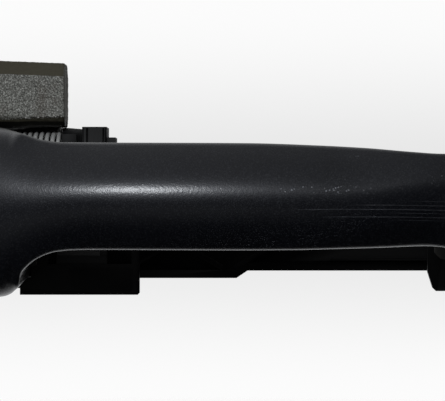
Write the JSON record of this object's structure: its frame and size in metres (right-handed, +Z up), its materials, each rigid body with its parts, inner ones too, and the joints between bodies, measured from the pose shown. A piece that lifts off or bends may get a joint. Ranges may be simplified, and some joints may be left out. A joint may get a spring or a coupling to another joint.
{
  "type": "car door handle",
  "caption": "Outside pull handle of a car door: painted grip hinged at one end on a black carrier, with a bell crank, cast counterweight, torsion spring, key lock and gaskets.",
  "frame": {"origin": "on the plane of the carrier's datum pads, which bears on the inside of the door skin, at mid height of the strap and 40 mm behind the crown of its bow", "axes": "+X along the handle towards the hinge end, -Y out of the door, +Z up"},
  "size_m": [0.2594, 0.087, 0.072],
  "materials": {
    "paint": "dark graphite metallic lacquer, satin gloss, fine scratches",
    "grip_plastic": "black moulded, fine grain",
    "carrier_plastic": "black glass-filled, moulded",
    "crank_plastic": "black moulded",
    "cast_weight": "rough as-cast faces, smoother olive chamfers",
    "cast_zinc": "die-cast, matt",
    "steel": "zinc plated",
    "spring_steel": "drawn wire",
    "chrome": "satin chrome",
    "brass": "machined",
    "rubber": "soft matt seal",
    "clip_plastic": "natural moulded plastic"
  },
  "bodies": {
    "root": {"carrier": "carrier_plastic", "return_spring": "spring_steel", "pivot_pin": "steel", "pin_retaining_clip": "steel", "hinge_pin": "steel", "front_gasket": "rubber", "rear_gasket": "rubber", "lock_cover_cap": "paint", "lock_housing": "cast_zinc", "lock_bezel": "chrome", "lock_clamp_slider": "cast_zinc", "lock_retaining_screw": "steel", "carrier_screw_front": "steel", "carrier_insert_nut": "brass", "cable_anchor_clip": "clip_plastic"},
    "grip": {"grip_outer_shell": "paint", "grip_inner_shell": "grip_plastic", "pull_arm": "cast_zinc", "grip_screw_rear": "steel", "grip_screw_front": "steel", "rest_buffer": "rubber"},
    "crank": {"bell_crank": "crank_plastic", "counterweight": "cast_weight", "counterweight_screw": "steel"},
    "key_barrel": {"key_plug": "chrome", "plug_retaining_clip": "steel", "lock_tailpiece": "steel"}
  },
  "joints": [
    {"name": "grip_pull", "type": "hinge", "parent": "root", "child": "grip", "pos_m": [0.147, 0.0105, 0], "axis": [0, 0, 1], "range_deg": [0, 7]},
    {"name": "crank_turn", "type": "hinge", "parent": "root", "child": "crank", "pos_m": [-0.036, 0.02, 0.0125], "axis": [-1, 0, 0], "range_deg": [0, 42], "stiffness_Nm_per_rad": 0.5, "springref_deg": -40.11, "deforming": ["return_spring"]},
    {"name": "key_turn", "type": "hinge", "parent": "root", "child": "key_barrel", "pos_m": [-0.072, 0, -0.003], "axis": [0, 1, 0], "range_deg": [-80, 80], "stiffness_Nm_per_rad": 0.05}
  ],
  "couplings": [
    {"joint": "crank_turn", "follows": "grip_pull", "ratio": 6}
  ]
}
